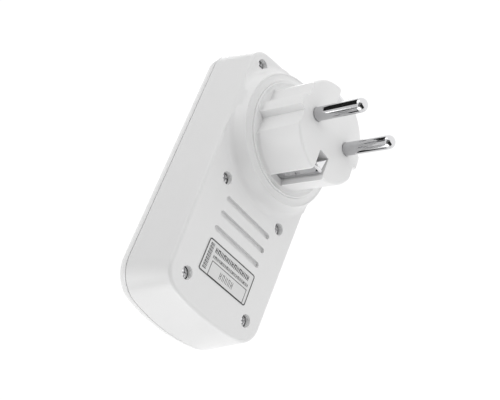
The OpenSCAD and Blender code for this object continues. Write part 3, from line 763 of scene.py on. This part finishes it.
def key_symbol(name, node, body, outlines):
    """Raised printing on top of a key: flat outlines as (x, z) points about its centre."""
    low, high = edges_mm(node)
    cx = (low.x + high.x) / 2
    cz = (low.z + high.z) / 2
    shapes = [
        prism("mark", [(cx + x, cz + z) for x, z in points], low.y - 0.02, low.y + 0.3)
        for points in outlines
    ]
    place(join(name, shapes), body, "key_plastic", "print")


def keys():
    for node, body in (("mode_key", "mode_button"), ("up_key", "up_button"),
                       ("down_key", "down_button")):
        softened(node, "key", "key_plastic", body, 0.25)
    softened("power_key", "key", "power_key_plastic", "power_button", 0.25)
    bars = [stadium(2.6, 0.35, 0.15, (0, 0.85 * k), 3) for k in (-1, 0, 1)]
    key_symbol("mode_mark", "mode_key", "mode_button", bars)
    up = [(-1.2, -0.8), (1.2, -0.8), (0, 1.1)]
    key_symbol("up_mark", "up_key", "up_button", [up])
    key_symbol("down_mark", "down_key", "down_button", [[(x, -z) for x, z in up]])
    arc_points = [
        (r * math.sin(t), r * math.cos(t))
        for r, turns in ((1.5, range(13)), (1.2, range(12, -1, -1)))
        for t in [math.radians(35 + 290 * k / 12) for k in turns]
    ]
    stem = stadium(0.3, 1.6, 0.1, (0, 1.1), 3)
    key_symbol("power_mark", "power_key", "power_button", [arc_points, stem])


# ---- nodes that keep their CAD shape, with their own finish ----

KEPT = {
    "earth_bridge": "brass", "neutral_link": "brass", "line_contact": "brass",
    "neutral_contact": "brass", "contact_carrier": "carrier", "carrier_screws": "fine_screw",
    "shutter_spring": "spring", "lcd_holder": "insert", "contact_strips": "elastomer",
    "mode_plunger": "black", "up_plunger": "black", "down_plunger": "black",
    "power_plunger": "black", "key_switches": "carrier", "status_led": "led",
    "main_board": "board", "board_screws": "fine_screw", "relay": "relay",
    "current_shunt": "alloy", "filter_capacitor": "film_box", "smoothing_capacitor": "sleeve",
    "fuse": "glass", "varistor": "varistor", "metering_chip": "black",
    "controller_chip": "black", "crystal": "can", "backup_cell": "can",
    "radio_board": "board", "radio_antenna": "copper", "radio_pins": "gold",
    "mains_wires": "sheath"
}


def finish_kept_nodes():
    for node, material in KEPT.items():
        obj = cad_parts[node]
        for slot in obj.material_slots:
            slot.material = MATERIALS[material]


# ---- light, floor and camera ----

CAMERA_TARGET = Vector((2.5, -23.7, -27.6))
CAMERA_AZIMUTH = 138.4
CAMERA_ELEVATION = -29.2
CAMERA_ROLL = 21.6
CAMERA_DISTANCE = 250
CAMERA_LENS = 52.5
BACKDROP = 1.06
FLOOR_HALF = 4000
FLOOR_Z = -1100


def camera():
    data = bpy.data.cameras.new("camera")
    data.lens = CAMERA_LENS
    data.sensor_width = 36
    data.clip_start = 0.01
    a = math.radians(CAMERA_AZIMUTH)
    e = math.radians(CAMERA_ELEVATION)
    back = Vector((math.sin(a) * math.cos(e), -math.cos(a) * math.cos(e), math.sin(e)))
    level = Vector((math.cos(a), math.sin(a), 0))
    turn = Matrix((level, back.cross(level), back)).transposed()
    turn = turn @ Matrix.Rotation(math.radians(CAMERA_ROLL), 3, "Z")
    obj = bpy.data.objects.new("camera", data)
    bpy.context.scene.collection.objects.link(obj)
    obj.matrix_world = (
        Matrix.Translation((CAMERA_TARGET + back * CAMERA_DISTANCE) * MM) @ turn.to_4x4()
    )
    bpy.context.scene.camera = obj


def surroundings():
    """A plain white studio all round, with a pale floor."""
    world = bpy.data.worlds.new("studio")
    bpy.context.scene.world = world
    world.use_nodes = True
    background = world.node_tree.nodes["Background"]
    background.inputs["Color"].default_value = (1, 1, 1, 1)
    background.inputs["Strength"].default_value = BACKDROP
    bpy.context.scene.view_settings.view_transform = "Standard"
    corners = [(sx * FLOOR_HALF, sy * FLOOR_HALF, FLOOR_Z)
               for sx, sy in ((-1, -1), (1, -1), (1, 1), (-1, 1))]
    floor = mesh_object("floor", corners, [(0, 1, 2, 3)])
    dress(floor, "floor")


def lamp(name, direction, distance, size, power, on_plastic=True):
    """A square soft light seen from the pins in the given direction."""
    data = bpy.data.lights.new(name, "AREA")
    data.size = size * MM
    data.energy = power
    obj = bpy.data.objects.new(name, data)
    bpy.context.scene.collection.objects.link(obj)
    aim = Vector(direction).normalized()
    obj.location = aim * distance * MM
    obj.rotation_euler = aim.to_track_quat("Z", "Y").to_euler()
    obj.visible_camera = False
    obj.visible_diffuse = on_plastic


def flag(name, direction, distance, length, width, along, material="flag"):
    """A card outside the view, its long side along the given way. A black one is there
    only for bright metal to mirror; a grey one softens the light from its side."""
    aim = Vector(direction).normalized()
    along = (Vector(along) - Vector(along).dot(aim) * aim).normalized()
    across = aim.cross(along)
    centre = aim * distance
    corners = [
        centre + along * (sa * length / 2) + across * (sc * width / 2)
        for sa, sc in ((-1, -1), (1, -1), (1, 1), (-1, 1))
    ]
    obj = mesh_object(name, corners, [(0, 1, 2, 3)])
    dress(obj, material)
    obj.visible_camera = False
    if material == "flag":
        obj.visible_diffuse = False
        obj.visible_shadow = False


camera()
surroundings()
lamp("low_light", (-0.05, -0.2, -0.98), 420, 300, 0.5)
lamp("low_strip", (0.5, -0.653, -0.57), 450, 130, 0.16, False)
lamp("top_strip", (-0.2, -0.653, 0.73), 450, 160, 0.15, False)
lamp("high_light", (0.94, -0.12, 0.32), 240, 140, 0.05)
flag("side_flag", (0.686, -0.653, 0.32), 600, 800, 300, (-0.42, 0, 0.906))
flag("low_flag", (-0.2, -0.653, -0.73), 600, 800, 220, (-0.96, 0, 0.26))
flag("front_flag", (0.1, 0.74, -0.66), 420, 640, 380, (1, 0, 0))
flag("camera_card", (0.68, 0.47, -0.56), 600, 800, 800, (0, 0, 1), "card")

rear_case()
front_case()
rating_label()
mains_pin("line_pin", PIN_X)
mains_pin("neutral_pin", -PIN_X)
plug()
for strip in ("plug_earth_top", "plug_earth_bottom"):
    contact = softened(strip, "contact", "contact_metal", width=0.12)
    # Painted shade: the strips' recessed faces get the darker pin metal.
    recoat(contact, "chrome_and_strip_shade", lambda point: point.y < -6)
softened("case_screws", "screw", "screw_steel", width=0.1, segments=2)
softened("socket_insert", "insert", "insert_plastic", width=0.2)
softened("socket_earth_clips", "contact", "contact_metal", width=0.1)
softened("shutter", "shutter", "shutter_plastic", "shutter_disc", 0.12)
softened("light_guide", "guide", "light_guide", width=0.08)
display()
keys()
finish_kept_nodes()
